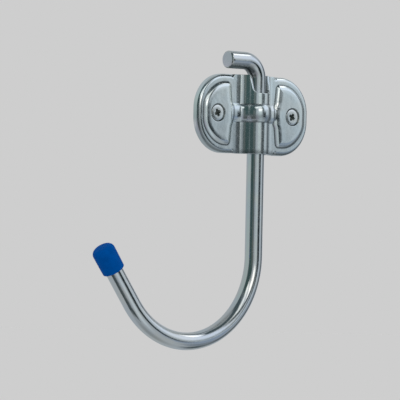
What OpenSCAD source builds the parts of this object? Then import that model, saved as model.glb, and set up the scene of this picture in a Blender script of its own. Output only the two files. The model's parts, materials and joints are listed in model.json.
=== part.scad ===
// Folding wall hook: a round bar bent into a J, turning in the channel of a pressed sheet plate.
// The wall is the plane Y = 0 and the hook stands on its -Y side. X runs along the wall, Z is up.
// The origin lies on the wall, midway between the two screws. The hook is folded flat to the left.

/* [Plate] */
// Width of the plate
plate_w = 83; // [76:1:96]
// Height of the plate
plate_h = 45; // [42:1:58]
// Radius of the plate's corners
corner_r = 20; // [14:0.5:20.5]
// From the wall to the flat face of the plate
plate_depth = 4.5; // [3.8:0.1:5.4]
// Thickness of the sheet
sheet_t = 2; // [1.4:0.1:2.4]
// Outside radius of the bend at the rim
rim_r = 2.4; // [1.2:0.1:2.6]

/* [Raised pads] */
// Height of the pads above the flat face
pad_rise = 1.5; // [0.8:0.1:2]
// From the centre line to the inner foot of a pad
pad_inner = 15.8; // [14.4:0.2:18]
// From the plate's edge to the outer foot of a pad
pad_margin = 4; // [3.2:0.2:5.4]
// Width of the slope on the inner side of a pad
pad_inner_slope = 3.4; // [1.8:0.2:4]
// Width of the slope along the rim side of a pad
pad_rim_slope = 3.2; // [1.6:0.2:3.6]
// Radius of a pad's corners
pad_corner_r = 3; // [1.5:0.5:4.5]

/* [Channel and band] */
// Gap between the bar and the channel
bar_clearance = 0.5; // [0.2:0.05:0.8]
// Gap between the folded hook's cap and the wall
wall_gap = 0.1; // [0.1:0.1:0.8]
// Radius of the fillet at the foot of the channel
channel_fillet = 7; // [4:0.5:8]
// Height of the raised band across the channel
band_h = 10; // [7:0.5:13]
// Height of the band above the sheet that it crosses
band_rise = 1.2; // [0.6:0.1:1.4]

/* [Notch for the stub] */
// Depth of the notch from the top of the plate
notch_depth = 10.4; // [8:0.2:12]
// Half angle of the notch at its mouth, about the bar
notch_mouth_angle = 76; // [66:1:80]
// Half angle of the notch where its corners start
notch_side_angle = 60; // [54:1:64]
// Half angle of the flat floor of the notch
notch_floor_angle = 23; // [12:1:32]
// Height of the notch's round corners
notch_corner = 3.5; // [2:0.5:5]

/* [Bar] */
// Diameter of the round bar
bar_d = 10; // [8:0.5:11]
// Centre-line radius of the bend above the plate
bend_r = 10; // [8.5:0.5:14]
// From the swing axis to the end of the stub
stub_reach = 22.5; // [18:0.5:30]
// Chamfer on the end of the stub
stub_chamfer = 0.7; // [0.2:0.1:1.5]
// Straight length of the bar below the plate
leg_len = 58; // [35:0.5:90]
// Centre-line radius of the J
hook_r = 49; // [30:0.5:60]
// Angle that the J sweeps through
hook_sweep = 144; // [110:1:170]
// Straight length of the tip, to the outside of its cap
tip_len = 38.3; // [26:0.2:60]
// Gap under the bend where it rides on the channel's rim
ride_gap = 0.1; // [0.05:0.05:0.3]

/* [Tip cap] */
// Length of the cap
cap_len = 15.5; // [12:0.5:24]
// Thickness of the cap's wall at its open end
cap_wall = 1.4; // [0.9:0.1:2]
// Thickness of the cap's closed end
cap_end_t = 1.8; // [1.2:0.1:3]
// How much narrower the cap's wall is at its closed end
cap_draft = 0.1; // [0:0.05:0.5]
// Radius of the shoulder at the closed end
cap_shoulder_r = 2.4; // [1:0.2:3.4]
// Height of the dome on the closed end
cap_crown = 0.5; // [0.2:0.1:1]
// Gap between the cap and the bar
cap_gap = 0.04; // [0.02:0.01:0.1]

/* [Screws] */
// From the end of the plate to the middle of a screw
screw_edge = 13.5; // [12.5:0.25:15]
// Diameter of the screw head
head_d = 8.8; // [8:0.1:9.4]
// Height of the straight edge of the screw head
head_edge = 0.3; // [0.1:0.1:0.5]
// Diameter over the thread
shank_d = 4.5; // [4:0.1:5]
// Length of the screw
screw_len = 16; // [14:1:50]
// Length of the screw's point
point_len = 4.5; // [3:0.5:7]
// Diameter of the countersink at the pad's face
sink_d = 10.4; // [9.8:0.1:11.4]
// Width across the cross recess
recess_w = 4.3; // [3.6:0.1:4.8]
// Width of one slot of the cross recess
recess_slot = 1.1; // [0.8:0.1:1.4]
// Depth of the cross recess
recess_depth = 2.2; // [1.4:0.1:2.6]
// Gap between the screw head and its countersink
head_gap = 0.05; // [0.02:0.01:0.1]

/* [Hidden] */
$fn = 64;
HULL_FN = 32;
// Overlap of one cutter past the face that it cuts
CUT = 1;
// The straight tip starts inside the end of the J, and is this much thicker all round
TIP_LAP = 0.3;
TIP_STEP = 0.01;
// Clearance round the screw's shank, in the sheet
SHANK_CLEARANCE = 0.4;
// Shares of a pad's slope and of its rise, from its foot to where it is flat
PAD_LEVELS = [[0, 0], [0.4, 0.62], [0.7, 0.9], [1, 1]];
// The channel's fillets lie this far inside the faces that they join, so that their surfaces cross
FILLET_STEP = 0.02;
// Steps along the round corner of the notch
NOTCH_STEPS = 12;
// Angle that the band's ring covers, so that both its ends lie inside the metal of its feet
BAND_SWEEP = 200;
// Radius of the flat at the bottom of the cross recess, as a share of its width
RECESS_FLOOR_SHARE = 0.2;
// Radius of the screw's blunt point
POINT_R = 0.2;

bar_r = bar_d / 2;
axis_h = bar_r + cap_wall + wall_gap;
bore_r = bar_r + bar_clearance;
channel_r = bore_r + sheet_t;
top_z = plate_h / 2;

// The fillet at the channel's foot touches the flat face and the round of the channel
fillet_h = plate_depth + channel_fillet;
fillet_x = sqrt(pow(channel_r + channel_fillet, 2) - pow(fillet_h - axis_h, 2));

// The band is a shallow arc of a circle, seen along the way that it runs
band_arc_r = (pow(band_h / 2, 2) + pow(band_rise, 2)) / (2 * band_rise);
pad_h = plate_depth + pad_rise;
screw_x = plate_w / 2 - screw_edge;
// The bend's inside touches the inner edge of the channel's rim
ride_drop = sqrt(pow(bend_r - bar_r, 2) - pow(bend_r - bore_r, 2));
bend_z = top_z - ride_drop + ride_gap;
stub_z = bend_z + bend_r;
hook_z = -top_z - leg_len;
bar_tip = tip_len - cap_end_t - cap_gap;

head_r = head_d / 2;
shank_r = shank_d / 2;
sink_r = sink_d / 2;
recess_floor_r = RECESS_FLOOR_SHARE * recess_w;
// Both cones have sides at 45 degrees, so a smaller head sits that much deeper
head_top_h = pad_h - (sink_r - head_r) + head_edge + head_gap;

steel = [0.74, 0.78, 0.80];
bright_steel = [0.80, 0.84, 0.87];
blue = [0.03, 0.27, 0.60];

// Turns a shape drawn flat, with its height along Z, to stand out from the wall
module on_wall() {
    rotate([90, 0, 0]) children();
}

// Outline of the plate, drawn in from its edge by inset
module plate_outline(inset) {
    offset(r = corner_r - inset)
        square([plate_w - 2 * corner_r, plate_h - 2 * corner_r], center = true);
}

// Right half of a flat-topped form of height h, with its upper edge rounded by edge_r
module rounded_edge(half_w, h, edge_r, below) {
    translate([0, -below]) square([half_w, h - edge_r + below]);
    square([half_w - edge_r, h]);
    translate([half_w - edge_r, h - edge_r]) circle(edge_r);
}

// The shallow pan, its surface moved inwards by inset
module pan(inset, below) {
    h = plate_depth - inset;
    edge_r = max(rim_r - inset, 0.2);
    run_x = plate_w - 2 * corner_r;
    run_y = plate_h - 2 * corner_r;
    on_wall() {
        for (x = [0, 1]) mirror([x, 0, 0]) {
            for (y = [0, 1]) mirror([0, y, 0]) translate([run_x / 2, run_y / 2, 0])
                rotate_extrude(angle = 90) rounded_edge(corner_r - inset, h, edge_r, below);
            translate([run_x / 2, run_y / 2, 0]) rotate([90, 0, 0])
                linear_extrude(run_y) rounded_edge(corner_r - inset, h, edge_r, below);
        }
        translate([-run_x / 2, 0, 0]) rotate([90, 0, 90]) linear_extrude(run_x)
            for (y = [0, 1]) mirror([y, 0, 0])
                rounded_edge(plate_h / 2 - inset, h, edge_r, below);
    }
}

// Outline of the right-hand pad: the plate's own end, cut off straight near the channel
module pad_outline(margin, inner) {
    offset(r = pad_corner_r) offset(r = -pad_corner_r) intersection() {
        plate_outline(margin);
        translate([inner, -plate_h]) square([plate_w, 2 * plate_h]);
    }
}

// One raised pad, its surface moved inwards by inset
module pad(inset) {
    // Horizontal share of the sheet's thickness on a sloping wall
    side = inset * tan(atan(pad_rise / pad_rim_slope) / 2);
    on_wall() hull() for (level = PAD_LEVELS)
        translate([0, 0, plate_depth - inset - CUT]) linear_extrude(CUT + level[1] * pad_rise)
            pad_outline(pad_margin + side + level[0] * pad_rim_slope,
                        pad_inner + side + level[0] * pad_inner_slope, $fn = HULL_FN);
}

// Cross section of the channel, with its surface moved inwards by inset
module channel_section(inset, below) {
    intersection() {
        translate([0, -axis_h]) circle(channel_r - inset);
        translate([-channel_r, -plate_w]) square([2 * channel_r, plate_w + below]);
    }
    difference() {
        polygon([[0, -axis_h], [fillet_x, -fillet_h], [fillet_x, below],
                 [-fillet_x, below], [-fillet_x, -fillet_h]]);
        for (x = [-1, 1])
            translate([x * fillet_x, -fillet_h]) circle(channel_fillet + inset + FILLET_STEP);
    }
}

// The half-round channel that the bar turns in
module channel(inset, past_end, below) {
    translate([0, 0, -top_z - past_end])
        linear_extrude(plate_h + 2 * past_end) channel_section(inset, below);
}

// Profile of the band where the surface under it is at distance level from the path's axis
module band_profile(level, inset) {
    intersection() {
        translate([level + band_rise - band_arc_r, 0]) circle(band_arc_r - inset);
        translate([0, -band_h]) square([level + 2 * band_rise, 2 * band_h]);
    }
}

// The raised band: a ring over the channel, a hollow curve at each foot and a bar to each pad
module band(inset) {
    arm = pad_inner + pad_inner_slope + pad_corner_r - fillet_x;
    translate([0, -axis_h, 0]) rotate([0, 0, -90 - BAND_SWEEP / 2])
        rotate_extrude(angle = BAND_SWEEP) band_profile(channel_r, inset);
    for (side = [0, 1]) mirror([side, 0, 0]) {
        difference() {
            translate([0, 0, -band_h / 2 - CUT]) linear_extrude(band_h + 2 * CUT)
                polygon([[0, -axis_h], [fillet_x, -fillet_h], [fillet_x, 0], [0, 0]]);
            translate([fillet_x, -fillet_h, 0]) rotate_extrude() difference() {
                translate([0, -band_h]) square([channel_fillet + inset + CUT / 2, 2 * band_h]);
                translate([channel_fillet - band_rise + band_arc_r, 0])
                    circle(band_arc_r - inset - FILLET_STEP);
            }
        }
        translate([fillet_x, 0, 0]) rotate([0, 90, 0]) rotate([0, 0, -90])
            linear_extrude(arm) band_profile(plate_depth, inset);
    }
}

// The whole pressed form, moved inwards by inset
module pressing(inset, past_end, below) {
    pan(inset, below);
    for (side = [0, 1]) mirror([side, 0, 0]) pad(inset);
    channel(inset, past_end, below);
    band(inset);
}

// Half angle of the notch at a depth below the plate's top
function notch_angle(depth) =
    let (bend_depth = notch_depth - notch_corner)
    depth <= bend_depth
    ? notch_mouth_angle + (notch_side_angle - notch_mouth_angle) * depth / bend_depth
    : notch_floor_angle + (notch_side_angle - notch_floor_angle)
        * sqrt(max(0, 1 - pow((depth - bend_depth) / notch_corner, 2)));

// Depths at which the notch is worked out: above the rim, at the rim, then round the corner
notch_depths = concat([-CUT, 0],
    [for (i = [0 : NOTCH_STEPS])
        notch_depth - notch_corner + notch_corner * sin(90 * i / NOTCH_STEPS)]);

// Corners of the notch's cutter at one half angle, from its left side round to its right
function notch_row(a, z) =
    let (inner_r = bore_r - CUT, outer_r = channel_r + CUT, front = axis_h + outer_r + CUT)
    [for (corner = [[-1, inner_r], [-1, outer_r], [-1, 0], [1, 0], [1, outer_r], [1, inner_r]])
        corner[1] > 0
        ? [corner[0] * corner[1] * sin(a), -axis_h - corner[1] * cos(a), z]
        : [corner[0] * outer_r * sin(a), -front, z]];

// The notch is cut square to the curved sheet, so its faces point at the swing axis
module notch() {
    rows = [for (depth = notch_depths) notch_row(notch_angle(max(depth, 0)), top_z - depth)];
    n = len(rows[0]);
    last = n * (len(rows) - 1);
    sides = [for (i = [0 : len(rows) - 2], j = [0 : n - 1], half = [0, 1])
        let (a = n * i + j, b = n * i + (j + 1) % n)
        half == 0 ? [a, b, b + n] : [a, b + n, a + n]];
    polyhedron([for (row = rows) each row],
               concat([[for (j = [n - 1 : -1 : 0]) j]], [[for (j = [0 : n - 1]) last + j]], sides));
}

// A countersunk hole through the pad at the side given by its sign
module countersink(side) {
    translate([side * screw_x, 0, 0]) on_wall() {
        translate([0, 0, pad_h - sink_r]) cylinder(h = sink_r + CUT, r1 = 0, r2 = sink_r + CUT);
        cylinder(h = pad_h + CUT, r = shank_r + SHANK_CLEARANCE);
    }
}

module mount_plate() {
    color(steel) difference() {
        pressing(0, 0, 0);
        pressing(sheet_t, CUT, CUT);
        notch();
        for (side = [-1, 1]) countersink(side);
    }
}

// Places a flat shape in the plane of the hook, about the centre of the J, with its Y axis down
module in_hook() {
    translate([-hook_r, -axis_h, hook_z]) rotate([-90, 0, 0]) children();
}

// Places a shape at the start of the straight tip, with Z along the tip
module at_tip() {
    in_hook() rotate([0, 0, hook_sweep]) translate([hook_r, 0, 0]) rotate([-90, 0, 0]) children();
}

// A bend of the bar, about the Z axis
module bar_bend(r, angle) {
    rotate_extrude(angle = angle) translate([r, 0]) circle(bar_r);
}

module hook_rod() {
    color(bright_steel) {
        translate([0, -axis_h, hook_z]) cylinder(h = -hook_z, r = bar_r);
        translate([0, -axis_h, 0]) cylinder(h = bend_z, r = bar_r);
        translate([-bend_r, -axis_h, bend_z]) rotate([90, 0, 0]) bar_bend(bend_r, 90);
        translate([-bend_r, -axis_h, stub_z]) rotate([0, -90, 0]) {
            straight = stub_reach - bend_r - stub_chamfer;
            cylinder(h = straight, r = bar_r);
            translate([0, 0, straight])
                cylinder(h = stub_chamfer, r1 = bar_r, r2 = bar_r - stub_chamfer);
        }
        in_hook() bar_bend(hook_r, hook_sweep);
        at_tip() translate([0, 0, -TIP_LAP]) cylinder(h = bar_tip + TIP_LAP, r = bar_r + TIP_STEP);
    }
}

// Outside of the cap, from its open end at 0 to its crown at cap_len
module cap_half() {
    open_r = bar_r + cap_wall;
    closed_r = open_r - cap_draft;
    shoulder_z = cap_len - cap_crown - cap_shoulder_r;
    crown_r = (pow(closed_r, 2) + pow(cap_crown, 2)) / (2 * cap_crown);
    polygon([[0, 0], [open_r, 0], [closed_r, shoulder_z], [0, shoulder_z]]);
    intersection() {
        union() {
            translate([0, shoulder_z]) square([closed_r - cap_shoulder_r, cap_crown + cap_shoulder_r]);
            translate([closed_r - cap_shoulder_r, shoulder_z]) circle(cap_shoulder_r);
            square([closed_r - cap_shoulder_r / 4, shoulder_z + cap_shoulder_r / 2]);
        }
        translate([0, cap_len - crown_r]) circle(crown_r, $fn = 4 * $fn);
        translate([0, shoulder_z - CUT]) square([closed_r, 2 * cap_shoulder_r + CUT]);
    }
}

module tip_cap() {
    color(blue) at_tip() translate([0, 0, tip_len - cap_len]) difference() {
        rotate_extrude() intersection() {
            cap_half();
            square([2 * bar_d, 2 * cap_len]);
        }
        translate([0, 0, -CUT])
            cylinder(h = cap_len - cap_end_t + CUT, r = bar_r + cap_gap);
    }
}

// A countersunk screw with a cross recess, its head's face at height 0 and its point below
module screw() {
    cone_h = head_r - shank_r;
    difference() {
        union() {
            translate([0, 0, -head_edge]) cylinder(h = head_edge, r = head_r);
            translate([0, 0, -head_edge - cone_h]) cylinder(h = cone_h, r1 = shank_r, r2 = head_r);
            translate([0, 0, point_len - screw_len])
                cylinder(h = screw_len - point_len - head_edge - cone_h, r = shank_r);
            translate([0, 0, -screw_len]) cylinder(h = point_len, r1 = POINT_R, r2 = shank_r);
        }
        intersection() {
            translate([0, 0, -recess_depth])
                cylinder(h = recess_depth + CUT, r1 = recess_floor_r,
                         r2 = recess_w / 2 + CUT * (recess_w / 2 - recess_floor_r) / recess_depth);
            for (turn = [0, 90]) rotate([0, 0, turn])
                cube([recess_w * 2, recess_slot, 2 * screw_len], center = true);
        }
    }
}

module screw_at(side) {
    color(bright_steel) translate([side * screw_x, 0, 0]) on_wall()
        translate([0, 0, head_top_h]) screw();
}

module screw_left() {
    screw_at(-1);
}

module screw_right() {
    screw_at(1);
}

mount_plate();
hook_rod();
tip_cap();
screw_left();
screw_right();
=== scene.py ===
"""Folding wall hook in a pale studio: pressed plate, round bar bent to a J, tip cap and two screws."""
import json
from math import acos, asin, cos, degrees, exp, hypot, pi, radians, sin, sqrt, tan

import bmesh
import bpy
from mathutils import Matrix, Vector


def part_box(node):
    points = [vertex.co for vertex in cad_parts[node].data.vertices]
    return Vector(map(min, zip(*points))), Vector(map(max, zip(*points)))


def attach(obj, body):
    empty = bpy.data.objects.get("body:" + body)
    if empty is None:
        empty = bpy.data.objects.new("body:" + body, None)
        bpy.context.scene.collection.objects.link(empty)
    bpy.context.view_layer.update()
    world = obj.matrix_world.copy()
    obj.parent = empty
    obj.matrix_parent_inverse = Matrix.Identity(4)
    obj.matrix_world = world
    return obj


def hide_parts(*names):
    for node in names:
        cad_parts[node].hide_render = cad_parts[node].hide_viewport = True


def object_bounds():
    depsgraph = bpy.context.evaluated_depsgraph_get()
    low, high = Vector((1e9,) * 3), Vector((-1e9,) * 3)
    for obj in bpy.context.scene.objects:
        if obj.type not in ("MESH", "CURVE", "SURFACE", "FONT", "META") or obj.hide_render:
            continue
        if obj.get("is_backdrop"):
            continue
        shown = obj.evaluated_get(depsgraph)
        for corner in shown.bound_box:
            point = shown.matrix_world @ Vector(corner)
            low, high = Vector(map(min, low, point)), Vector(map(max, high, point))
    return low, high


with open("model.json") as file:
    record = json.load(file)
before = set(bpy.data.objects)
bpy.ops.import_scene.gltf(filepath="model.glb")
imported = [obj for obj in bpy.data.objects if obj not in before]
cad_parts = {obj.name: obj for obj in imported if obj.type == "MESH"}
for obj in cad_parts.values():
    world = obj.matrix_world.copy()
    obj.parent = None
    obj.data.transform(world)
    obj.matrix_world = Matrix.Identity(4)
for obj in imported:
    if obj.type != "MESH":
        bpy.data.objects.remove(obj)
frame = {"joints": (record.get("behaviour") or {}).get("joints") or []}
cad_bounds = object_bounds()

# All lengths are in millimetres, and MM turns them into Blender's metres
MM = 0.001
# Points closer than this to each other become one, and edges shorter than the second length go
WELD = 0.002
SHORTEST_EDGE = 0.001
# Edges that bend by more than this many degrees stay hard
SHARP = 50
SHARP_CAP = 60
SHARP_SCREW = 38
# Points round a turned form
LATHE_SEGMENTS = 96


def box_mm(node):
    """Lowest and highest corners of a CAD node, in millimetres."""
    low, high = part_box(node)
    return low / MM, high / MM


# Places and sizes that the frame gives
plate_low, plate_high = box_mm("mount_plate")
rod_low, rod_high = box_mm("hook_rod")
screw_low, screw_high = box_mm("screw_right")
AXIS_H = -frame["joints"][0]["pos_m"][1] / MM
HALF_W = plate_high.x
HALF_H = plate_high.z

# Pressed plate
SHEET_T = 2.0
CORNER_R = 20.0
PLATE_DEPTH = 4.5
RIM_R = 2.4
# The sheet's edge has both its corners rounded, with points at these degrees round each
EDGE_R = 0.22
EDGE_TURNS = (30, 60, 90)
PAD_RISE = 1.5
# Distance from the plate's edge to a pad's outer foot: at its ends, then along its top and bottom
PAD_RIM_FOOT = 3.4
PAD_RIM_FOOT_FAR = 4.3
# Heights between which the one distance goes over into the other
PAD_RIM_FOOT_ZS = (4.0, 15.0)
# Distance from the centre line to the inner feet of the left and right pads
PAD_INNER_FOOT = {-1: 16.8, 1: 15.4}
# The inner feet lean outwards by this much per millimetre away from the band, and flare close to it
PAD_LEAN = 0.11
PAD_LEAN_FROM = 8.5
PAD_FLARE = 0.09
PAD_FLARE_REACH = 3.5
PAD_CORNER_R = 2.4
# Slope of a pad's side in degrees, at distances in from its foot
PAD_SLOPES = ((0.0, 0.0), (0.3, 42.0), (1.1, 40.0), (1.5, 29.0), (2.4, 17.0), (3.1, 5.0), (5.0, 0.0))
CURVE_STEP = 0.05
CHANNEL_R = 7.5
FILLET_R = 7.0
# Below its first bend the channel's fillet turns tightly and then runs out flat: slopes and radii
FILLET_BENDS = (33.0, 15.0, 0.0)
FILLET_RADII = (2.3, 11.0)
# Across the plate: the band's height, rise and place, how square its section is and how soft its edges are
BAND_H = 10.0
BAND_RISE = -plate_low.y - AXIS_H - CHANNEL_R
BAND_Z = 0.7
BAND_POWER = 2.8
BAND_CREASE = 0.10
# The band starts to fade this far past the left pad's inner foot
BAND_FADE = 1.5
# How sharply the band and the pads meet
RELIEF_POWER = 8
NOTCH_DEPTH = 10.4
NOTCH_CORNER = 3.5
# Angles round the channel of the notch's mouth, of its side and of the start of its flat floor
NOTCH_ANGLES = (76.0, 60.0, 23.0)
# Degrees by which the cut leans across each millimetre of the sheet, as a punch leaves it
NOTCH_LEAN = 2.5
# The rows of points that the notch pushes in are back in place this far in from the edge
NOTCH_BLEND = 12.6
# The rim runs out between these distances from the centre line, and a strip of it stays in the channel
RUN_OUT_FROM = 13.6
RUN_OUT_TO = 17.4
RIM_STRIP = 1.2

# Points across and along the plate
RING_STEPS = 48
FILLET_STEPS = 10
FLAT_STEPS = 36
RIM_ROWS = 12
FAN_STEPS = 28
END_STEPS = 8
# Rows in from the edge: from, to and how many, closest on the sides of the pads
INSET_ROWS = ((2.9, 3.3, 2), (3.3, 9.3, 40), (9.3, 12.4, 8), (12.4, CORNER_R, 30))

# Painted shade on the zinc, in an attribute of the points that darkens and dulls it. Each mark has its
# strength.
PAINTED_SHADE = "painted_shade"
# Painted shade in the creases: how far in from a pad's foot, how wide it spreads, and its strength at the
# band
CREASE_AT = 0.25
CREASE_W = 0.4
CREASE_BAND = 0.8
# Painted shade on the lower half of the band: the height of its middle and how wide it spreads
BAND_SHADE = 0.45
BAND_SHADE_Z = -1.9
BAND_SHADE_W = 1.9
# Painted shade left of the channel, below the band: its middle, how wide it spreads, and from where to
# where it grows downwards
FILLET_SHADE = 0.32
FILLET_SHADE_X = -12.0
FILLET_SHADE_W = 3.6
FILLET_SHADE_DOWN = (4.0, 7.0)
# Painted shade on the lower left of the rim: how far in from the edge it lies, how wide it spreads, how far
# down and left it grows, and how much a millimetre to the left counts for one down
RIM_SHADE = 0.7
RIM_SHADE_AT = 0.9
RIM_SHADE_W = 0.8
RIM_SHADE_DOWN = (6.0, 20.0)
RIM_SHADE_LEFT = 0.4
# Painted shade on the inside of the channel, which grows between these distances from its outer face
CHANNEL_SHADE_DEPTHS = (-0.9, -0.3)
# Painted shade below the stub and inside the bar's bend, growing between these shares of the bar's radius
# below its middle
BEND_SHADE_SHARES = (0.3, 0.85)

# Bar and hook
BAR_R = 5.0
BEND_R = 10.0
STUB_Z = rod_high.z - BAR_R
BEND_Z = STUB_Z - BEND_R
STUB_REACH = 22.5
STUB_CHAMFER = 0.7
# Points that soften the inner and the outer corner of that chamfer: out from the corner, and up the bar
SOFT = 0.25
SOFT_INNER = ((-SOFT, 0.0), (-SOFT / 3, 0.04), (SOFT / 3, 0.18))
SOFT_OUTER = ((-SOFT / 2, -0.14), (-0.03, 0.04), (0.0, 0.3))
# Faces this close to the stub's end are sawn
SAWN_DEPTH = 0.1
HOOK_R = 49.0
HOOK_Z = rod_low.z + HOOK_R + BAR_R
HOOK_SWEEP = radians(144)
TIP_LEN = 38.3
# Points round the bar, and rings along its stub, bend, leg, J and tip
BAR_SEGMENTS = 72
BAR_STEPS = (6, 28, 48, 110, 16)

# Tip cap
CAP_LEN = 15.5
CAP_WALL = 1.4
CAP_END_T = 1.8
CAP_DRAFT = 0.1
CAP_SHOULDER_R = 3.3
CAP_SWELL = 0.3
CAP_CROWN = 0.5
CAP_GAP = 0.04
CAP_LIP_R = 0.3
# Chamfers at the mouth and at the floor of the bore
CAP_MOUTH = 0.15
CAP_FLOOR = 0.3
# Rings along its dome, shoulder, wall and lip
CAP_STEPS = (10, 14, 12, 5)

# Screws
SCREW_X = (screw_low.x + screw_high.x) / 2
HEAD_R = (screw_high.x - screw_low.x) / 2
HEAD_TOP_H = -screw_low.y
HEAD_EDGE = 0.3
# The head's face has its first points this far past the cross
HEAD_FLAT = 0.5
# Points of the head's rounded edge: out from its radius, and up from its face
HEAD_ROUND = ((-0.18, 0.0), (-0.04, -0.06), (0.0, -0.18))
SHANK_R = 2.25
SCREW_LEN = screw_high.y - screw_low.y
POINT_LEN = 4.5
SHANK_CLEARANCE = 0.4
# Countersink, with a lip that softens its mouth: how far out from its radius, and down from the pad
SINK_R = 5.2
SINK_LIP = 0.02
SINK_MOUTH = ((-0.15, 0.15), (SINK_LIP, 0.04), (0.14, 0.0))
# Faces of the hole that lie deeper below the pad than this get a dark zinc: painted shade
SINK_SHADE_DEPTH = 0.03
# Cross recess: its width and slot at the face, its depth, and its floor's reach and slot as shares of them
RECESS_W = 4.4
RECESS_SLOT = 1.35
RECESS_DEPTH = 2.2
RECESS_FLOOR_W = 0.2
RECESS_FLOOR_SLOT = 0.62
# The recess has its width this far below the face. From there its cutter widens, up to above the face.
RECESS_SINK = 0.02
RECESS_OVER = 0.6
RECESS_WIDER = 0.45
# Corners between the arms of the cross: a share of half its slot, and at most this share of its reach
CORE_OF_SLOT = 1.5
CORE_OF_REACH = 0.9
# Faces this close to the recess are still painted as part of it
RECESS_NEAR = 0.1
# Thread: the run-in below the cone, and half a ridge's foot as a share of the pitch
THREAD_PITCH = 1.9
THREAD_DEPTH = 0.55
THREAD_RUN_IN = 1.2
THREAD_FLANK = 0.24
THREAD_STEPS = 14
# The point narrows by this power of what is left of it, but keeps this share until its short tip
POINT_POWER = 0.85
POINT_BLUNT = 0.03
POINT_TIP = 0.02
SCREW_SEGMENTS = 72
CONE_STEPS = 6

# The photograph's camera, about a point of the hook's plane
CAMERA_AZ = -40.19
CAMERA_EL = -1.738
CAMERA_ROLL = 1.174
CAMERA_DIST = 2308.4
CAMERA_TARGET = (-35.13, 0.0, -49.67)
FOCAL_PX = 4088.5
FRAME_PX = 400
SENSOR = 36.0
# Nearest and farthest that it sees, in metres
CLIP = (0.05, 100.0)

# Studio: levels of the backdrop and of the soft dome, brighter in front, and the floor's height and reach
BACKDROP = 0.617
DOME = 0.85
DOME_FRONT = 1.25
DOME_BACK = 0.75
FLOOR_Z = -190.0
FLOOR_REACH = 30000.0


def smoothstep(a, b, v):
    """0 below a, 1 above b, and a smooth step between them."""
    t = min(max((v - a) / (b - a), 0.0), 1.0)
    return t * t * (3 - 2 * t)


def spread(a, b, n):
    """n steps from a to b, without a."""
    return [a + (b - a) * i / n for i in range(1, n + 1)]


def bell(v, middle, width, power=2):
    """1 at the middle, falling off to either side. A higher power makes its top flatter."""
    return exp(-(((v - middle) / width) ** power))


def new_object(name, verts, faces, body, stands_for, sharp=SHARP):
    """A smooth-shaded mesh from millimetre points that rides on a body and stands for CAD nodes."""
    mesh = bpy.data.meshes.new(name)
    mesh.from_pydata([Vector(v) * MM for v in verts], [], faces)
    bm = bmesh.new()
    bm.from_mesh(mesh)
    bmesh.ops.remove_doubles(bm, verts=bm.verts, dist=WELD * MM)
    bmesh.ops.dissolve_degenerate(bm, edges=bm.edges, dist=SHORTEST_EDGE * MM)
    bmesh.ops.recalc_face_normals(bm, faces=bm.faces)
    bm.to_mesh(mesh)
    bm.free()
    obj = bpy.data.objects.new(name, mesh)
    bpy.context.scene.collection.objects.link(obj)
    shade(obj, sharp)
    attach(obj, body)
    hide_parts(stands_for)
    return obj


def shade(obj, sharp):
    """Smooth shading, with edges sharper than the angle left hard."""
    obj.data.shade_smooth()
    obj.data.set_sharp_from_angle(angle=radians(sharp))


def grid_faces(rows, cols, wrap=False):
    """Faces of a grid of points that are listed row by row."""
    last = cols if wrap else cols - 1
    faces = []
    for start in range(0, (rows - 1) * cols, cols):
        for c in range(last):
            after = (c + 1) % cols
            faces.append((start + c, start + after, start + cols + after, start + cols + c))
    return faces


def lathe(profile, segments):
    """Points and faces of a profile of (radius, height) turned about Z, closed at both ends."""
    verts = [
        (r * cos(2 * pi * s / segments), r * sin(2 * pi * s / segments), z)
        for r, z in profile
        for s in range(segments)
    ]
    return verts, grid_faces(len(profile), segments, wrap=True)


def moved(verts, matrix):
    """The points after a transform."""
    return [matrix @ Vector(v) for v in verts]


# Plate


def half_section():
    """The plate's section right of the centre: (x, height, normal x, normal height, channel angle)."""
    fillet_h = PLATE_DEPTH + FILLET_R
    tangent = acos((fillet_h - AXIS_H) / (CHANNEL_R + FILLET_R))
    points = [
        (CHANNEL_R * sin(a), AXIS_H + CHANNEL_R * cos(a), sin(a), cos(a), degrees(a))
        for a in [0.0] + spread(0.0, tangent, RING_STEPS)
    ]
    x, h = points[-1][:2]
    bends = [tangent] + [radians(a) for a in FILLET_BENDS]
    later_drop = sum(r * (cos(b) - cos(a)) for r, a, b in zip(FILLET_RADII, bends[1:], bends[2:]))
    first_r = (h - PLATE_DEPTH - later_drop) / (cos(bends[1]) - cos(tangent))
    for radius, start, end in zip((first_r, *FILLET_RADII), bends, bends[1:]):
        for b in spread(start, end, FILLET_STEPS):
            across = radius * (sin(start) - sin(b))
            down = radius * (cos(b) - cos(start))
            points.append((x + across, h - down, sin(b), cos(b), 90.0))
        x, h = points[-1][:2]
    flat = spread(x, HALF_W - CORNER_R, FLAT_STEPS)
    return points + [(flat_x, PLATE_DEPTH, 0.0, 1.0, 90.0) for flat_x in flat]


def notch_cut(angle):
    """Depth of the notch at an angle round the channel."""
    mouth, side, floor = NOTCH_ANGLES
    deep = NOTCH_DEPTH - NOTCH_CORNER
    if angle >= mouth:
        return 0.0
    if angle >= side:
        return deep * (mouth - angle) / (mouth - side)
    if angle >= floor:
        return deep + NOTCH_CORNER * sqrt(1 - ((angle - floor) / (side - floor)) ** 2)
    return NOTCH_DEPTH


def rim_path(turn, s):
    """Distance in from the edge, drop and slope of the rim, at a length s along the sheet."""
    bend = pi / 2 * turn
    straight = (PLATE_DEPTH - RIM_R) * turn
    start = RIM_R * sin(bend) + straight * cos(bend)
    if s < straight:
        left = straight - s
        inset = start - RIM_R * sin(bend) - left * cos(bend)
        return inset, RIM_R * (1 - cos(bend)) + left * sin(bend), bend
    slope = max(bend - (s - straight) / RIM_R, 0.0)
    flat = max(s - straight - RIM_R * bend, 0.0)
    return start - RIM_R * sin(slope) + flat, RIM_R * (1 - cos(slope)), slope


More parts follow.
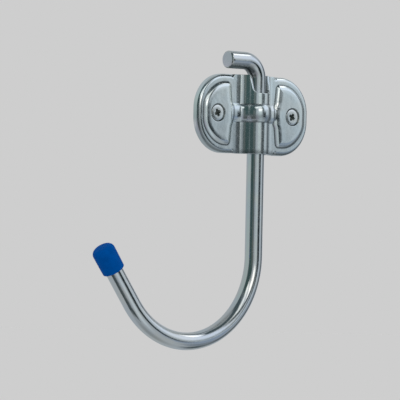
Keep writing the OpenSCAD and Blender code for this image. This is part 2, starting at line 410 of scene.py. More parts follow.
def rim_length(turn):
    """Length along the sheet from its edge to where the rim is flat, at least a short strip."""
    return max((PLATE_DEPTH - RIM_R) * turn + RIM_R * pi / 2 * turn, RIM_STRIP)


def slope_at(distance):
    """Slope of a pad's side in degrees, at a distance in from its foot."""
    for (near, low), (far, high) in zip(PAD_SLOPES, PAD_SLOPES[1:]):
        if distance < far:
            return low + (high - low) * (distance - near) / (far - near)
    return 0.0


def pad_curve(step):
    """Heights of a pad's side at every step in from its foot, up to its full rise."""
    heights = [0.0]
    while len(heights) * step <= PAD_SLOPES[-1][0]:
        middle = (len(heights) - 0.5) * step
        heights.append(heights[-1] + step * tan(radians(slope_at(middle))))
    return [PAD_RISE * h / heights[-1] for h in heights]


PAD_CURVE = pad_curve(CURVE_STEP)


def pad_distance(x, z, inset):
    """Distance in from a pad's foot, with the corners of its outline rounded."""
    away = abs(z)
    side = abs(x) - PAD_INNER_FOOT[1 if x > 0 else -1]
    side -= PAD_LEAN * max(away - PAD_LEAN_FROM, 0.0)
    side += PAD_FLARE * min(max(PAD_LEAN_FROM - away, 0.0), PAD_FLARE_REACH) ** 2
    rim = inset - PAD_RIM_FOOT - (PAD_RIM_FOOT_FAR - PAD_RIM_FOOT) * smoothstep(*PAD_RIM_FOOT_ZS, away)
    corner = hypot(max(PAD_CORNER_R - side, 0.0), max(PAD_CORNER_R - rim, 0.0))
    return PAD_CORNER_R - corner + min(max(side - PAD_CORNER_R, 0.0), max(rim - PAD_CORNER_R, 0.0))


def pad_height(x, z, inset):
    """Height of the raised pad at a point that lies a distance in from the plate's edge."""
    steps = max(pad_distance(x, z, inset), 0.0) / CURVE_STEP
    low = int(steps)
    if low >= len(PAD_CURVE) - 1:
        return PAD_RISE
    return PAD_CURVE[low] + (PAD_CURVE[low + 1] - PAD_CURVE[low]) * (steps - low)


def band_height(x, z):
    """Height of the shallow band across the plate, with softened creases at its two edges."""
    across = abs(2 * (z - BAND_Z) / BAND_H)
    rise = BAND_RISE * (1 - across ** BAND_POWER)
    fade = 1 - smoothstep(PAD_INNER_FOOT[-1] + BAND_FADE, HALF_W - CORNER_R, abs(x))
    return fade * (rise + hypot(rise, BAND_CREASE)) / 2


def relief(x, z, inset):
    """Height of all that is pressed out of the flat sheet: the pads, and the band between them."""
    heights = (pad_height(x, z, inset), band_height(x, z))
    return sum(h ** RELIEF_POWER for h in heights) ** (1 / RELIEF_POWER)


def uncut(off):
    """No notch."""
    return 0.0


def plate_stations():
    """Stations round the plate's edge, in order, and the columns of the plate's middle.

    A station is a function that places a point from its inset, height and drop, the station's x, how far
    the rim is turned over there, and a function that gives the notch's depth from the depth in the sheet.
    """
    half = half_section()
    columns = [(-x, h, -nx, nh, a) for x, h, nx, nh, a in reversed(half[1:])] + half
    run_x = HALF_W - CORNER_R
    run_z = HALF_H - CORNER_R

    def column(data, side):
        x, h, nx, nh, angle = data
        turn = smoothstep(RUN_OUT_FROM, RUN_OUT_TO, abs(x))

        def cut(off):
            return notch_cut(abs(angle) + NOTCH_LEAN * off) if side > 0 else 0.0

        def place(inset, out, drop):
            return (x + nx * out, -(h + nh * out - drop), side * (HALF_H - inset))

        return place, x, turn, cut

    def ray(origin_x, origin_z, angle):
        def place(inset, out, drop):
            reach = CORNER_R - inset
            x = origin_x + reach * cos(angle)
            return (x, -(PLATE_DEPTH + out - drop), origin_z + reach * sin(angle))

        return place, origin_x, 1.0, uncut

    stations = [column(c, 1) for c in columns]
    stations += [ray(run_x, run_z, a) for a in spread(pi / 2, 0, FAN_STEPS)]
    stations += [ray(run_x, z, 0) for z in spread(run_z, -run_z, END_STEPS)]
    stations += [ray(run_x, -run_z, a) for a in spread(0, -pi / 2, FAN_STEPS)[:-1]]
    stations += [column(c, -1) for c in reversed(columns)]
    stations += [ray(-run_x, -run_z, a) for a in spread(-pi / 2, -pi, FAN_STEPS)]
    stations += [ray(-run_x, z, -pi) for z in spread(-run_z, run_z, END_STEPS)]
    stations += [ray(-run_x, run_z, a) for a in spread(pi, pi / 2, FAN_STEPS)[:-1]]
    return stations, columns


INSETS = [inset for start, end, rows in INSET_ROWS for inset in spread(start, end, rows)]


def station_line(station, off, insets):
    """Points of one face of the sheet, off below its outer face, from the plate's edge inwards."""
    place, x, turn, cut = station
    line = []
    length = rim_length(turn)
    deep = cut(off)
    for s in [EDGE_R] + spread(EDGE_R, length, RIM_ROWS):
        inset, drop, slope = rim_path(turn, s)
        line.append(sheet_point(place, x, inset + deep + off * sin(slope), drop, off * cos(slope)))
    for inset in insets:
        if inset < NOTCH_BLEND:
            strip = deep + length
            inset = strip + (inset - length) * (NOTCH_BLEND - strip) / (NOTCH_BLEND - length)
        line.append(sheet_point(place, x, inset, 0.0, off))
    return line


def sheet_point(place, x, inset, drop, off):
    """A point of the sheet, off below its outer face."""
    flat_x, _, flat_z = place(inset, 0.0, 0.0)
    return place(inset, relief(flat_x, flat_z, inset) - off, drop)


def edge_line(station):
    """Points across the sheet's edge, from its outer face to its inner one, both corners rounded."""
    place, x, turn, cut = station
    bends = [radians(a) for a in EDGE_TURNS]
    corner = [(EDGE_R * (1 - sin(a)), EDGE_R * (1 - cos(a))) for a in bends]
    points = []
    for back, off in corner + [(back, SHEET_T - off) for back, off in reversed(corner)]:
        inset, drop, slope = rim_path(turn, back)
        inset = inset + cut(off) + off * sin(slope)
        points.append(sheet_point(place, x, inset, drop, off * cos(slope)))
    return points


def build_plate():
    """The pressed plate: outer and inner faces, joined along the edge, and a middle grid on each face."""
    stations, columns = plate_stations()
    outer = [station_line(s, 0.0, INSETS) for s in stations]
    inner = [station_line(s, SHEET_T, INSETS[1::2]) for s in stations]
    edge = [edge_line(s) for s in stations]
    rings = [out[::-1] + side + back for out, side, back in zip(outer, edge, inner)]
    cols = len(rings[0])
    verts = [p for ring in rings for p in ring]
    faces = grid_faces(len(rings), cols)
    last = (len(rings) - 1) * cols
    faces += [(last + c, c, c + 1, last + c + 1) for c in range(cols - 1)]
    run_z = HALF_H - CORNER_R
    for off in (0.0, SHEET_T):
        start = len(verts)
        for z in [run_z] + spread(run_z, -run_z, END_STEPS):
            for x, h, nx, nh, _ in columns:
                out = relief(x, z, HALF_H - abs(z)) - off
                verts.append((x + nx * out, -(h + nh * out), z))
        faces += [tuple(start + i for i in f) for f in grid_faces(END_STEPS + 1, len(columns))]
    plate = new_object("plate_sheet", verts, faces, "plate", "mount_plate")
    for side in (-1, 1):
        cut_away(plate, countersink(side * SCREW_X))
    shade(plate, SHARP)
    shade_r = SINK_R + SINK_LIP
    shade_h = PLATE_DEPTH + PAD_RISE - SINK_SHADE_DEPTH
    # Painted shade: faces deep in the countersinks get the dark zinc
    for face in plate.data.polygons:
        spot = face.center / MM
        if hypot(abs(spot.x) - SCREW_X, spot.z) < shade_r and -spot.y < shade_h:
            face.material_index = 1
    paint_plate_shade(plate)
    return plate


def outline_inset(x, z):
    """Distance in from the plate's edge."""
    past_x = abs(x) - (HALF_W - CORNER_R)
    past_z = abs(z) - (HALF_H - CORNER_R)
    return CORNER_R - hypot(max(past_x, 0.0), max(past_z, 0.0)) - min(max(past_x, past_z), 0.0)


def paint_plate_shade(plate):
    """Writes at each point how much painted shade darkens the zinc there: in creases, on the band's lower
    half, beside the channel, on the lower left of the rim and inside the channel.
    """
    painted_shade = plate.data.attributes.new(PAINTED_SHADE, "FLOAT", "POINT")
    foot_x = PAD_INNER_FOOT[1]
    for vertex, mark in zip(plate.data.vertices, painted_shade.data):
        x = vertex.co.x / MM
        h = -vertex.co.y / MM
        z = vertex.co.z / MM
        inset = outline_inset(x, z)
        # Painted shade in the creases at the pads' feet and along the band's edges
        foot = bell(pad_distance(x, z, inset), CREASE_AT, CREASE_W)
        edge = bell(abs(z - BAND_Z) - BAND_H / 2, 0.0, CREASE_W)
        edge *= 1 - smoothstep(CHANNEL_R, foot_x, abs(x))
        # Painted shade on the band's lower half
        lower = bell(z, BAND_SHADE_Z, BAND_SHADE_W, 4) * (1 - smoothstep(BAR_R, foot_x, abs(x)))
        # Painted shade in the fillet left of the channel, below the band
        beside = bell(x, FILLET_SHADE_X, FILLET_SHADE_W, 4) * smoothstep(*FILLET_SHADE_DOWN, -z)
        # Painted shade along the lower left of the rim
        rim_shade = bell(inset, RIM_SHADE_AT, RIM_SHADE_W) * smoothstep(*RIM_SHADE_DOWN, -min(x, 0) * RIM_SHADE_LEFT - z)
        # Painted shade on the inside of the channel
        inside = 1 - smoothstep(*CHANNEL_SHADE_DEPTHS, hypot(x, h - AXIS_H) - CHANNEL_R)
        marks = (CREASE_BAND * edge, BAND_SHADE * lower, FILLET_SHADE * beside, RIM_SHADE * rim_shade)
        mark.value = max(foot, inside, *marks)


def countersink(x):
    """A cutter for one screw hole: a cone down from the pad and a clearance hole below it."""
    pad_h = PLATE_DEPTH + PAD_RISE
    hole_r = SHANK_R + SHANK_CLEARANCE
    over = 1.0
    profile = [
        (0, -over),
        (hole_r, -over),
        (hole_r, pad_h - SINK_R + hole_r),
        *((SINK_R + out, pad_h - down) for out, down in SINK_MOUTH),
        (SINK_R + over, pad_h + over),
        (0, pad_h + over),
    ]
    verts, faces = lathe(profile, LATHE_SEGMENTS)
    return moved(verts, Matrix.Translation((x, 0, 0)) @ Matrix.Rotation(pi / 2, 4, "X")), faces


def cut_away(obj, cutter):
    """Takes a cutter, given by its points and faces, out of an object."""
    verts, faces = cutter
    mesh = bpy.data.meshes.new("cutter")
    mesh.from_pydata([Vector(v) * MM for v in verts], [], faces)
    bm = bmesh.new()
    bm.from_mesh(mesh)
    bmesh.ops.remove_doubles(bm, verts=bm.verts, dist=SHORTEST_EDGE * MM)
    bmesh.ops.recalc_face_normals(bm, faces=bm.faces)
    bm.to_mesh(mesh)
    bm.free()
    tool = bpy.data.objects.new("cutter", mesh)
    bpy.context.scene.collection.objects.link(tool)
    boolean = obj.modifiers.new("cut", "BOOLEAN")
    boolean.operation = "DIFFERENCE"
    boolean.solver = "EXACT"
    boolean.object = tool
    depsgraph = bpy.context.evaluated_depsgraph_get()
    result = bpy.data.meshes.new_from_object(obj.evaluated_get(depsgraph))
    obj.modifiers.remove(boolean)
    obj.data = result
    bpy.data.objects.remove(tool)


# Bar


def bar_path():
    """Centre line of the bar in the X-Z plane, from stub to tip: (x, z, direction angle)."""
    stub_steps, bend_steps, leg_steps, hook_steps, tip_steps = BAR_STEPS
    path = [(-STUB_REACH, STUB_Z, 0.0)]
    path += [(x, STUB_Z, 0.0) for x in spread(-STUB_REACH, -BEND_R, stub_steps)]
    path += [
        (-BEND_R + BEND_R * sin(a), BEND_Z + BEND_R * cos(a), -a)
        for a in spread(0, pi / 2, bend_steps)
    ]
    path += [(0.0, z, -pi / 2) for z in spread(BEND_Z, HOOK_Z, leg_steps)]
    path += [
        (-HOOK_R + HOOK_R * cos(a), HOOK_Z - HOOK_R * sin(a), -pi / 2 - a)
        for a in spread(0, HOOK_SWEEP, hook_steps)
    ]
    x, z, turn = path[-1]
    length = TIP_LEN - CAP_END_T - CAP_GAP
    path += [(x + s * cos(turn), z + s * sin(turn), turn) for s in spread(0, length, tip_steps)]
    return path


def bar_ring(x, z, turn, radius, along):
    """One ring of points across the bar."""
    middle_x = x + along * cos(turn)
    middle_z = z + along * sin(turn)
    points = []
    for s in range(BAR_SEGMENTS):
        a = 2 * pi * s / BAR_SEGMENTS
        ring_x = middle_x - radius * cos(a) * sin(turn)
        ring_z = middle_z + radius * cos(a) * cos(turn)
        points.append((ring_x, -AXIS_H + radius * sin(a), ring_z))
    return points


def build_bar():
    """The bent bar, with a softened chamfer at its sawn stub end and at the end inside the cap."""
    path = bar_path()
    # Radius, and distance from the end
    end = [(0.0, 0.0)]
    end += [(BAR_R - STUB_CHAMFER + out, up) for out, up in SOFT_INNER]
    end += [(BAR_R + out, STUB_CHAMFER + up) for out, up in SOFT_OUTER]
    rings = [bar_ring(*path[0], r, along) for r, along in end]
    rings += [bar_ring(*p, BAR_R, 0.0) for p in path[1:-1]]
    rings += [bar_ring(*path[-1], r, -along) for r, along in reversed(end)]
    verts = [p for ring in rings for p in ring]
    faces = grid_faces(len(rings), BAR_SEGMENTS, wrap=True)
    bar = new_object("bent_bar", verts, faces, "hook", "hook_rod")
    for face in bar.data.polygons:
        if face.center.x / MM < SAWN_DEPTH - STUB_REACH and face.center.z > 0:
            face.material_index = 1
    paint_bar_shade(bar)
    return bar


def paint_bar_shade(bar):
    """Writes painted shade by how deep each point lies below the stub and inside the bend."""
    painted_shade = bar.data.attributes.new(PAINTED_SHADE, "FLOAT", "POINT")
    for vertex, mark in zip(bar.data.vertices, painted_shade.data):
        x = vertex.co.x / MM
        z = vertex.co.z / MM
        if z > BEND_Z and x > STUB_CHAMFER / 2 - STUB_REACH:
            below = STUB_Z - z
            if x > -BEND_R:
                below = BEND_R - hypot(x + BEND_R, z - BEND_Z)
            lower = smoothstep(*BEND_SHADE_SHARES, below / BAR_R)
            mark.value = lower * smoothstep(BEND_Z, BEND_Z + BEND_R / 2, z)


# Cap


def cap_profile():
    """Outline of the cap as (radius, height), from the centre of its dome to the floor of its bore."""
    dome_steps, shoulder_steps, wall_steps, lip_steps = CAP_STEPS
    open_r = BAR_R + CAP_WALL
    closed_r = open_r - CAP_DRAFT + CAP_SWELL
    crown_r = (closed_r ** 2 + CAP_CROWN ** 2) / (2 * CAP_CROWN)
    crown_z = CAP_LEN - crown_r
    shoulder_x = closed_r - CAP_SHOULDER_R
    reach = crown_r - CAP_SHOULDER_R
    shoulder_z = crown_z + sqrt(reach ** 2 - shoulder_x ** 2)
    lean = asin(shoulder_x / reach)
    leans = [0.0] + spread(0, lean, dome_steps)
    dome = [(crown_r * sin(a), crown_z + crown_r * cos(a)) for a in leans]
    shoulder = [
        (shoulder_x + CAP_SHOULDER_R * sin(a), shoulder_z + CAP_SHOULDER_R * cos(a))
        for a in spread(lean, pi / 2, shoulder_steps)
    ]
    taper = (closed_r - open_r) / shoulder_z ** 2
    wall = [
        (closed_r - taper * (shoulder_z - h) ** 2, h)
        for h in spread(shoulder_z, CAP_LIP_R, wall_steps)
    ]
    lip = [
        (open_r - CAP_LIP_R * (1 - cos(a)), CAP_LIP_R * (1 - sin(a)))
        for a in spread(0, pi / 2, lip_steps)
    ]
    bore_r = BAR_R + CAP_GAP
    floor = CAP_LEN - CAP_END_T
    inside = [
        (bore_r + CAP_MOUTH, 0.0),
        (bore_r, CAP_MOUTH),
        (bore_r, floor - CAP_FLOOR),
        (bore_r - CAP_FLOOR, floor),
        (0.0, floor),
    ]
    return dome + shoulder + wall + lip + inside


def build_cap():
    """The plastic cap over the bar's tip."""
    x, z, turn = bar_path()[-1]
    along = CAP_END_T + CAP_GAP - CAP_LEN
    axis = Vector((cos(turn), 0, sin(turn)))
    side = Vector((0, 1, 0))
    third = axis.cross(side)
    base = Vector((x, -AXIS_H, z)) + axis * along
    place = Matrix.Translation(base) @ Matrix((side, third, axis)).transposed().to_4x4()
    verts, faces = lathe(cap_profile(), LATHE_SEGMENTS)
    verts = moved(verts, place)
    return new_object("moulded_cap", verts, faces, "hook", "tip_cap", SHARP_CAP)


# Screws


def screw_form():
    """Points and faces of a countersunk wood screw about Z, from its head's face at 0 down to its point."""
    cone_end = -HEAD_EDGE - (HEAD_R - SHANK_R)
    head = [(0.0, 0.0), (RECESS_W / 2 + HEAD_FLAT, 0.0)]
    head += [(HEAD_R + out, up) for out, up in HEAD_ROUND]
    head.append((HEAD_R, -HEAD_EDGE))
    cone_rs = spread(HEAD_R, SHANK_R, CONE_STEPS)
    cone_zs = spread(-HEAD_EDGE, cone_end, CONE_STEPS)
    rows = [(r, z, False) for r, z in head + list(zip(cone_rs, cone_zs))]
    steps = int((SCREW_LEN + cone_end) / THREAD_PITCH * THREAD_STEPS)
    rows += [(SHANK_R, z, True) for z in spread(cone_end, POINT_TIP - SCREW_LEN, steps)]
    rows.append((0.0, -SCREW_LEN, False))
    verts = []
    for r, z, threaded in rows:
        for s in range(SCREW_SEGMENTS):
            angle = 2 * pi * s / SCREW_SEGMENTS
            radius = thread_radius(angle, z, cone_end) if threaded else r
            verts.append((radius * cos(angle), radius * sin(angle), z))
    return verts, grid_faces(len(rows), SCREW_SEGMENTS, wrap=True)


def thread_radius(angle, z, top):
    """Radius of the threaded shank: sharp ridges over a wide root, shrinking to a point."""
    phase = (z / THREAD_PITCH - angle / (2 * pi)) % 1.0
    ridge = max(0.0, 1 - abs(phase - 0.5) / THREAD_FLANK)
    taper = min(1.0, (z + SCREW_LEN) / POINT_LEN)
    start = smoothstep(top, top - THREAD_RUN_IN, z)
    root = SHANK_R - THREAD_DEPTH * start
    return (root + THREAD_DEPTH * start * ridge) * max(taper, POINT_BLUNT) ** POINT_POWER


def cross_recess():
    """A tapered cross that sinks into the head: rings of corners from above its face to the floor."""
    half_w = RECESS_W / 2
    half_slot = RECESS_SLOT / 2
    levels = (
        (RECESS_OVER, half_w + RECESS_WIDER, half_slot),
        (-RECESS_SINK, half_w, half_slot),
        (-RECESS_DEPTH, RECESS_W * RECESS_FLOOR_W, half_slot * RECESS_FLOOR_SLOT),
    )
    rings = []
    for z, reach, slot in levels:
        core = min(slot * CORE_OF_SLOT, reach * CORE_OF_REACH)
        corners = []
        for turn in range(4):
            a = pi / 2 * turn
            local = [(reach, -slot), (reach, slot), (core, core)]
            corners += [(x * cos(a) - y * sin(a), x * sin(a) + y * cos(a), z) for x, y in local]
        rings.append(corners)
    verts = [p for ring in rings for p in ring]
    n = len(rings[0])
    faces = grid_faces(len(rings), n, wrap=True)
    faces.append(tuple(range(n)))
    faces.append(tuple(range(2 * n, 3 * n)))
    return verts, faces


def build_screw(name, side, turn):
    """One screw in its countersink, with its cross turned as it was driven."""
    place = Matrix.Translation((side * SCREW_X, -HEAD_TOP_H, 0)) @ Matrix.Rotation(pi / 2, 4, "X")
    place = place @ Matrix.Rotation(radians(turn), 4, "Z")
    verts, faces = screw_form()
    verts = moved(verts, place)
    screw = new_object(name + "_body", verts, faces, "plate", name, SHARP_SCREW)
    verts, faces = cross_recess()
    cut_away(screw, (moved(verts, place), faces))
    shade(screw, SHARP_SCREW)
    away = place.inverted()
    # Painted shade: faces in the cross recess get the dark zinc
    for face in screw.data.polygons:
        spot = away @ (face.center / MM)
        reach = hypot(spot.x, spot.y)
        deep = -RECESS_SINK > spot.z > -RECESS_DEPTH - RECESS_NEAR
        if deep and reach < RECESS_W / 2 + RECESS_NEAR:
            face.material_index = int(reach < HEAD_R + spot.z + RECESS_NEAR)
    return screw


# Materials


class Nodes:
    """Short ways to add nodes to one node tree."""

    def __init__(self, tree):
        self.tree = tree
        tree.nodes.clear()

    def add(self, kind, **values):
        node = self.tree.nodes.new(kind)
        for name, value in values.items():
            setattr(node, name, value)
        return node

    def set(self, socket, value):
        """Links an output to a socket, or writes a number or colour on it."""
        if isinstance(value, bpy.types.NodeSocket):
            self.tree.links.new(value, socket)
        else:
            socket.default_value = value

    def math(self, operation, a, b=0.0, clamp=False):
        node = self.add("ShaderNodeMath", operation=operation, use_clamp=clamp)
        self.set(node.inputs[0], a)
        self.set(node.inputs[1], b)
        return node.outputs[0]

    def turn_between(self, azimuth, centre):
        """Angle from a centre, in degrees, within half a turn to either side."""
        offset = self.math("SUBTRACT", azimuth, float(centre))
        node = self.add("ShaderNodeMath", operation="WRAP")
        for socket, number in zip(node.inputs, (offset, 180.0, -180.0)):
            self.set(socket, number)
        return node.outputs[0]

    def smooth(self, value, a, b, low=0.0, high=1.0):
        """A smooth step from low at a to high at b."""
        node = self.add("ShaderNodeMapRange", interpolation_type="SMOOTHSTEP")
        for socket, number in zip(node.inputs, (value, a, b, low, high)):
            self.set(socket, number)
        return node.outputs[0]

    def mix(self, fac, a, b):
        """Mixes two colours, which the node takes at its sockets 6 and 7 and gives at its output 2."""
        node = self.add("ShaderNodeMix", data_type="RGBA")
        self.set(node.inputs["Factor"], fac)
        self.set(node.inputs[6], a)
        self.set(node.inputs[7], b)
        return node.outputs[2]

    def noise(self, vector, scale, detail=2.0, roughness=0.5):
        node = self.add("ShaderNodeTexNoise")
        self.set(node.inputs["Vector"], vector)
        self.set(node.inputs["Scale"], scale)
        self.set(node.inputs["Detail"], detail)
        self.set(node.inputs["Roughness"], roughness)
        return node.outputs["Fac"]

    def stretched(self, scale):
        """Object coordinates in millimetres, scaled by axis."""
        coords = self.add("ShaderNodeTexCoord").outputs["Object"]
        node = self.add("ShaderNodeMapping")
        self.set(node.inputs["Vector"], coords)
        self.set(node.inputs["Scale"], [1000 * s for s in scale])
        return node.outputs[0]

    def lowness(self, bottom, top):
        """1 at a height in millimetres and below it, 0 at a greater one."""
        split = self.add("ShaderNodeSeparateXYZ")
        self.set(split.inputs[0], self.stretched((1, 1, 1)))
        return self.smooth(split.outputs[2], bottom, top, 1.0, 0.0)

    def bump(self, height, strength, distance, normal=None):
        node = self.add("ShaderNodeBump")
        self.set(node.inputs["Height"], height)
        self.set(node.inputs["Strength"], strength)
        self.set(node.inputs["Distance"], distance * MM)
        if normal:
            self.set(node.inputs["Normal"], normal)
        return node.outputs[0]


def rgb(*levels):
    """A colour from linear levels."""
    return (*levels, 1.0)


DULL_ZINC = rgb(0.52, 0.56, 0.58)
# Painted shade: the plate's zinc turns towards this darker grey towards its foot
FOOT_SHADE_ZINC = rgb(0.62, 0.66, 0.69)
# Painted shade: zinc turns towards this dark grey by the strength in the points' attribute, and is a little
# rougher there
SHADE_ZINC = rgb(0.06, 0.08, 0.085)
CREASE_DARKENS = 0.9
CREASE_ROUGHENS = 0.2


def new_material(name):
    """A material whose surface is one principled shader: the material, its nodes and the shader."""
    material = bpy.data.materials.new(name)
    material.use_nodes = True
    nodes = Nodes(material.node_tree)
    shader = nodes.add("ShaderNodeBsdfPrincipled")
    output = nodes.add("ShaderNodeOutputMaterial")
    nodes.set(output.inputs["Surface"], shader.outputs[0])
    return material, nodes, shader


def zinc(name, cool, warm, roughness, grain, grain_strength, fade=0.0):
    """Bright zinc: patchy tints, a fine grain as it was rolled or drawn, dull specks, and painted shade in
    creases and hollows.

    Where a share is given, it turns to a darker grey towards the plate's foot, up to that share: painted
    shade, lighter at the top and darker at the bottom.
    """
    material, nodes, shader = new_material(name)
    plain = nodes.stretched((1, 1, 1))
    lined = nodes.stretched(grain)
    patches = nodes.noise(plain, scale=0.09, detail=3.0)
    cloud = nodes.noise(plain, scale=0.6, detail=4.0, roughness=0.6)
    lines = nodes.noise(lined, scale=1.0, detail=5.0, roughness=0.65)
    specks = nodes.noise(plain, scale=1.7, detail=2.0)
    colour = nodes.mix(nodes.smooth(patches, 0.35, 0.65), cool, warm)
    dull = nodes.smooth(specks, 0.66, 0.76, high=0.35)
    colour = nodes.mix(dull, colour, DULL_ZINC)
    # Painted shade, darker towards the plate's foot
    if fade:
        lower = nodes.math("MULTIPLY", nodes.lowness(-HALF_H, HALF_H), fade)
        colour = nodes.mix(lower, colour, FOOT_SHADE_ZINC)
    # Painted shade from the points' attribute darkens the zinc
    painted_shade = nodes.add("ShaderNodeAttribute", attribute_name=PAINTED_SHADE).outputs["Fac"]
    colour = nodes.mix(nodes.math("MULTIPLY", painted_shade, CREASE_DARKENS), colour, SHADE_ZINC)
    nodes.set(shader.inputs["Base Color"], colour)
    nodes.set(shader.inputs["Metallic"], 1.0)
    dull = nodes.math("ADD", dull, nodes.math("MULTIPLY", painted_shade, CREASE_ROUGHENS))
    rough = nodes.smooth(cloud, 0.3, 0.7, low=roughness - 0.03, high=roughness + 0.04)
    nodes.set(shader.inputs["Roughness"], nodes.math("ADD", rough, dull))
    waves = nodes.noise(plain, scale=0.16, detail=2.0)
    ripple = nodes.bump(waves, strength=0.5, distance=0.12)
    fine = nodes.bump(lines, grain_strength, distance=0.02, normal=ripple)
    nodes.set(shader.inputs["Normal"], fine)
    return material


def blue_plastic():
    """Satin moulded plastic, deep blue, with a faint leather-like skin and a few scuffs."""
    material, nodes, shader = new_material("blue_plastic")
    plain = nodes.stretched((1, 1, 1))
    cloud = nodes.noise(plain, scale=0.25, detail=3.0)
    scuff = nodes.noise(nodes.stretched((0.5, 0.5, 2.2)), scale=1.0, detail=6.0, roughness=0.7)
    colour = nodes.mix(nodes.smooth(cloud, 0.3, 0.7), rgb(0.0, 0.067, 0.30), rgb(0.0, 0.077, 0.34))
    marks = nodes.smooth(scuff, 0.66, 0.76, high=0.15)
    colour = nodes.mix(marks, colour, rgb(0.02, 0.13, 0.42))
    nodes.set(shader.inputs["Base Color"], colour)
    nodes.set(shader.inputs["Specular IOR Level"], 0.015)
    nodes.set(shader.inputs["Specular Tint"], rgb(0.0, 0.55, 1.0))
    nodes.set(shader.inputs["Roughness"], nodes.smooth(scuff, 0.4, 0.75, low=0.42, high=0.55))
    nodes.set(shader.inputs["IOR"], 1.49)
    skin = nodes.noise(plain, scale=6.0, detail=2.0)
    nodes.set(shader.inputs["Normal"], nodes.bump(skin, strength=0.25, distance=0.02))
    return material


def paint(obj, *materials):
    """Gives an object its materials, in the order of its faces' material numbers."""
    for number, material in enumerate(materials):
        if number < len(obj.data.materials):
            obj.data.materials[number] = material
        else:
            obj.data.materials.append(material)


# Studio


def add_floor():
    """A plain pale floor below the hook, as bright as the backdrop where no shadow falls."""
    mesh = bpy.data.meshes.new("floor")
    corners = [(-1, -1), (1, -1), (1, 1), (-1, 1)]
    verts = [Vector((x * FLOOR_REACH, y * FLOOR_REACH, FLOOR_Z)) * MM for x, y in corners]
    mesh.from_pydata(verts, [], [(0, 1, 2, 3)])
    floor = bpy.data.objects.new("floor", mesh)
    bpy.context.scene.collection.objects.link(floor)
    material, nodes, shader = new_material("floor_paint")
    level = BACKDROP / DOME
    nodes.set(shader.inputs["Base Color"], rgb(level, level, level))
    nodes.set(shader.inputs["Roughness"], 1.0)
    nodes.set(shader.inputs["Specular IOR Level"], 0.0)
    paint(floor, material)
    floor.visible_glossy = False
    floor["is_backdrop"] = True


# Cards of the studio, from the first that is hung to the last: azimuth, elevation, half width, half
# height and softness of the edge, all in degrees, and linear colour. Azimuth 0 is in front of the plate,
# and grows to its right.
CARDS = (
    # Left wall, the floor below it and the floor in front
    (-128, 12, 24, 44, 12, (0.37, 0.45, 0.45)),
    (-85, -24, 62, 16, 8, (0.39, 0.40, 0.46)),
    (-64, -22, 22, 14, 8, (0.085, 0.10, 0.095)),
    (-60, -56, 36, 8, 6, (0.050, 0.066, 0.070)),
    (0, -34, 13, 15, 9, (0.55, 0.62, 0.65)),
    (-160, -12, 24, 7, 6, (0.58, 0.60, 0.63)),
    # Dark room behind the camera, and the dark ceiling
    (-70, 20, 28, 27, 7, (0.045, 0.080, 0.080)),
    (-56, 3, 6, 8, 5, (0.13, 0.15, 0.145)),
    (-20, 59, 82, 13, 7, (0.060, 0.085, 0.095)),
    # Bluish wall low on the right, dark at its foot, and the darker wall past the window
    (48, -14, 16, 12, 7, (0.26, 0.32, 0.40)),
    (58, -34, 12, 8, 6, (0.18, 0.22, 0.27)),
    (88, -8, 16, 29, 8, (0.11, 0.13, 0.145)),
    (90, -46, 20, 9, 8, (0.075, 0.10, 0.115)),
    (45, 2, 12, 8, 5, (0.50, 0.57, 0.61)),
    (92, 52, 14, 9, 6, (0.12, 0.15, 0.16)),
    (127, 6, 17, 16, 8, (0.56, 0.58, 0.63)),
    # Window on the right, brightest at its top
    (48, 27, 25, 15, 8, (0.72, 0.80, 0.90)),
    (66, 47, 17, 6, 4, (1.40, 1.46, 1.52)),
    # Dark flag in front of the plate, and its stand
    (24, -5, 15, 10, 4, (0.016, 0.025, 0.028)),
    (14, 20, 7, 16, 5, (0.080, 0.10, 0.10)),
    # Main lamp, bright at its top, and the strip of lamps above it
    (-11, 3, 11, 14, 6, (0.47, 0.54, 0.54)),
    (-9, 16, 13, 8, 4, (1.40, 1.40, 1.36)),
    (-36, 33, 14, 6, 4, (1.05, 1.10, 1.08)),
    (-11, 37, 17, 6, 5, (0.95, 1.00, 0.98)),
)


# The room behind the cards, and how it darkens towards straight up and down, in degrees of elevation
ROOM = rgb(0.39, 0.43, 0.45)
ROOM_POLES = rgb(0.26, 0.29, 0.30)
POLE_FROM_TO = (55.0, 85.0)


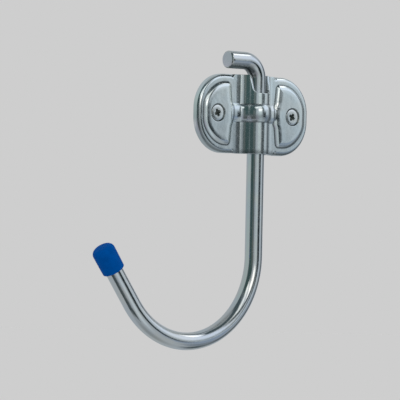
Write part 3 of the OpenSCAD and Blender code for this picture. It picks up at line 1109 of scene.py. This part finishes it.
def studio_world():
    """Metal sees the cards, matt surfaces a soft dome, and the camera a plain backdrop."""
    world = bpy.data.worlds.new("studio")
    bpy.context.scene.world = world
    world.use_nodes = True
    # Each ray then sees its own part of the studio. A world that is sampled as a lamp would blend them.
    world.cycles.sampling_method = "NONE"
    nodes = Nodes(world.node_tree)
    direction = nodes.add("ShaderNodeTexCoord").outputs["Generated"]
    split = nodes.add("ShaderNodeSeparateXYZ")
    nodes.set(split.inputs[0], direction)
    x, y, z = split.outputs
    azimuth = nodes.math("DEGREES", nodes.math("ARCTAN2", x, nodes.math("MULTIPLY", y, -1.0)))
    elevation = nodes.math("DEGREES", nodes.math("ARCSINE", z))
    away = nodes.smooth(nodes.math("ABSOLUTE", elevation), *POLE_FROM_TO)
    colour = nodes.mix(away, ROOM, ROOM_POLES)
    for az, el, half_w, half_h, soft, level in CARDS:
        off_az = nodes.math("ABSOLUTE", nodes.turn_between(azimuth, az))
        off_el = nodes.math("ABSOLUTE", nodes.math("SUBTRACT", elevation, float(el)))
        across = nodes.smooth(off_az, half_w - soft, half_w + soft, 1.0, 0.0)
        up = nodes.smooth(off_el, half_h - soft, half_h + soft, 1.0, 0.0)
        colour = nodes.mix(nodes.math("MULTIPLY", across, up), colour, rgb(*level))
    studio = nodes.add("ShaderNodeBackground")
    nodes.set(studio.inputs["Color"], colour)
    dome = nodes.add("ShaderNodeBackground")
    front = nodes.smooth(y, -1.0, 1.0, DOME * DOME_FRONT, DOME * DOME_BACK)
    nodes.set(dome.inputs["Color"], rgb(1, 1, 1))
    nodes.set(dome.inputs["Strength"], front)
    backdrop = nodes.add("ShaderNodeBackground")
    nodes.set(backdrop.inputs["Color"], rgb(BACKDROP, BACKDROP, BACKDROP))
    rays = nodes.add("ShaderNodeLightPath")
    lit = nodes.add("ShaderNodeMixShader")
    nodes.set(lit.inputs[0], rays.outputs["Is Diffuse Ray"])
    nodes.set(lit.inputs[1], studio.outputs[0])
    nodes.set(lit.inputs[2], dome.outputs[0])
    seen = nodes.add("ShaderNodeMixShader")
    nodes.set(seen.inputs[0], rays.outputs["Is Camera Ray"])
    nodes.set(seen.inputs[1], lit.outputs[0])
    nodes.set(seen.inputs[2], backdrop.outputs[0])
    output = nodes.add("ShaderNodeOutputWorld")
    nodes.set(output.inputs["Surface"], seen.outputs[0])


def add_camera():
    """The photograph's viewpoint: a long lens, looking slightly up, rolled by about a degree."""
    az = radians(CAMERA_AZ)
    el = radians(CAMERA_EL)
    roll = radians(CAMERA_ROLL)
    back = Vector((sin(az) * cos(el), -cos(az) * cos(el), sin(el)))
    right = (-back).cross(Vector((0, 0, 1))).normalized()
    up = right.cross(-back)
    turned_right = right * cos(roll) + up * sin(roll)
    turned_up = up * cos(roll) - right * sin(roll)
    data = bpy.data.cameras.new("camera")
    data.sensor_width = SENSOR
    data.lens = FOCAL_PX * SENSOR / FRAME_PX
    data.clip_start, data.clip_end = CLIP
    camera = bpy.data.objects.new("camera", data)
    pose = Matrix((turned_right, turned_up, back)).transposed().to_4x4()
    pose.translation = (Vector(CAMERA_TARGET) + back * CAMERA_DIST) * MM
    camera.matrix_world = pose
    bpy.context.scene.collection.objects.link(camera)
    bpy.context.scene.camera = camera


plate = build_plate()
bar = build_bar()
cap = build_cap()
screws = [build_screw("screw_left", -1, turn=24), build_screw("screw_right", 1, turn=61)]

# Rolled sheet, drawn bar, sawn end, and parts without a direction
ROLLED = (0.25, 2.0, 2.0)
DRAWN = (3.0, 3.0, 0.15)
SAWN = (2.0, 2.5, 0.3)
EVEN = (2.0, 2.0, 2.0)
# Each zinc has its two tints, its roughness, its grain and how strong that is
# The sheet darkens towards its foot by painted shade
sheet_zinc = zinc("zinc_sheet", rgb(0.90, 0.97, 0.99), rgb(0.95, 0.97, 0.95), 0.14, ROLLED, 0.2, fade=0.6)
# Painted shade in the countersinks' holes
sink_shade_zinc = zinc("zinc_sink_shade", rgb(0.15, 0.18, 0.18), rgb(0.21, 0.23, 0.22), 0.35, EVEN, 0.3)
bar_zinc = zinc("zinc_bar", rgb(0.74, 0.77, 0.81), rgb(0.79, 0.79, 0.78), 0.11, DRAWN, 0.15)
sawn_zinc = zinc("zinc_sawn", rgb(0.66, 0.64, 0.72), rgb(0.74, 0.72, 0.78), 0.32, SAWN, 0.5)
paint(plate, sheet_zinc, sink_shade_zinc)
paint(bar, bar_zinc, sawn_zinc)
screw_zinc = zinc("zinc_screw", rgb(0.88, 0.93, 0.95), rgb(0.93, 0.93, 0.90), 0.22, EVEN, 0.3)
# Painted shade in the screws' cross recesses
recess_shade_zinc = zinc("recess_shade_zinc", rgb(0.27, 0.31, 0.30), rgb(0.33, 0.35, 0.33), 0.5, EVEN, 0.3)
for screw in screws:
    paint(screw, screw_zinc, recess_shade_zinc)
paint(cap, blue_plastic())

add_floor()
studio_world()
add_camera()
bpy.context.scene.view_settings.view_transform = "Standard"

sizes = {"cad": cad_bounds, "visual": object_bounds()}
{name: [list(corner) for corner in corners] for name, corners in sizes.items()}
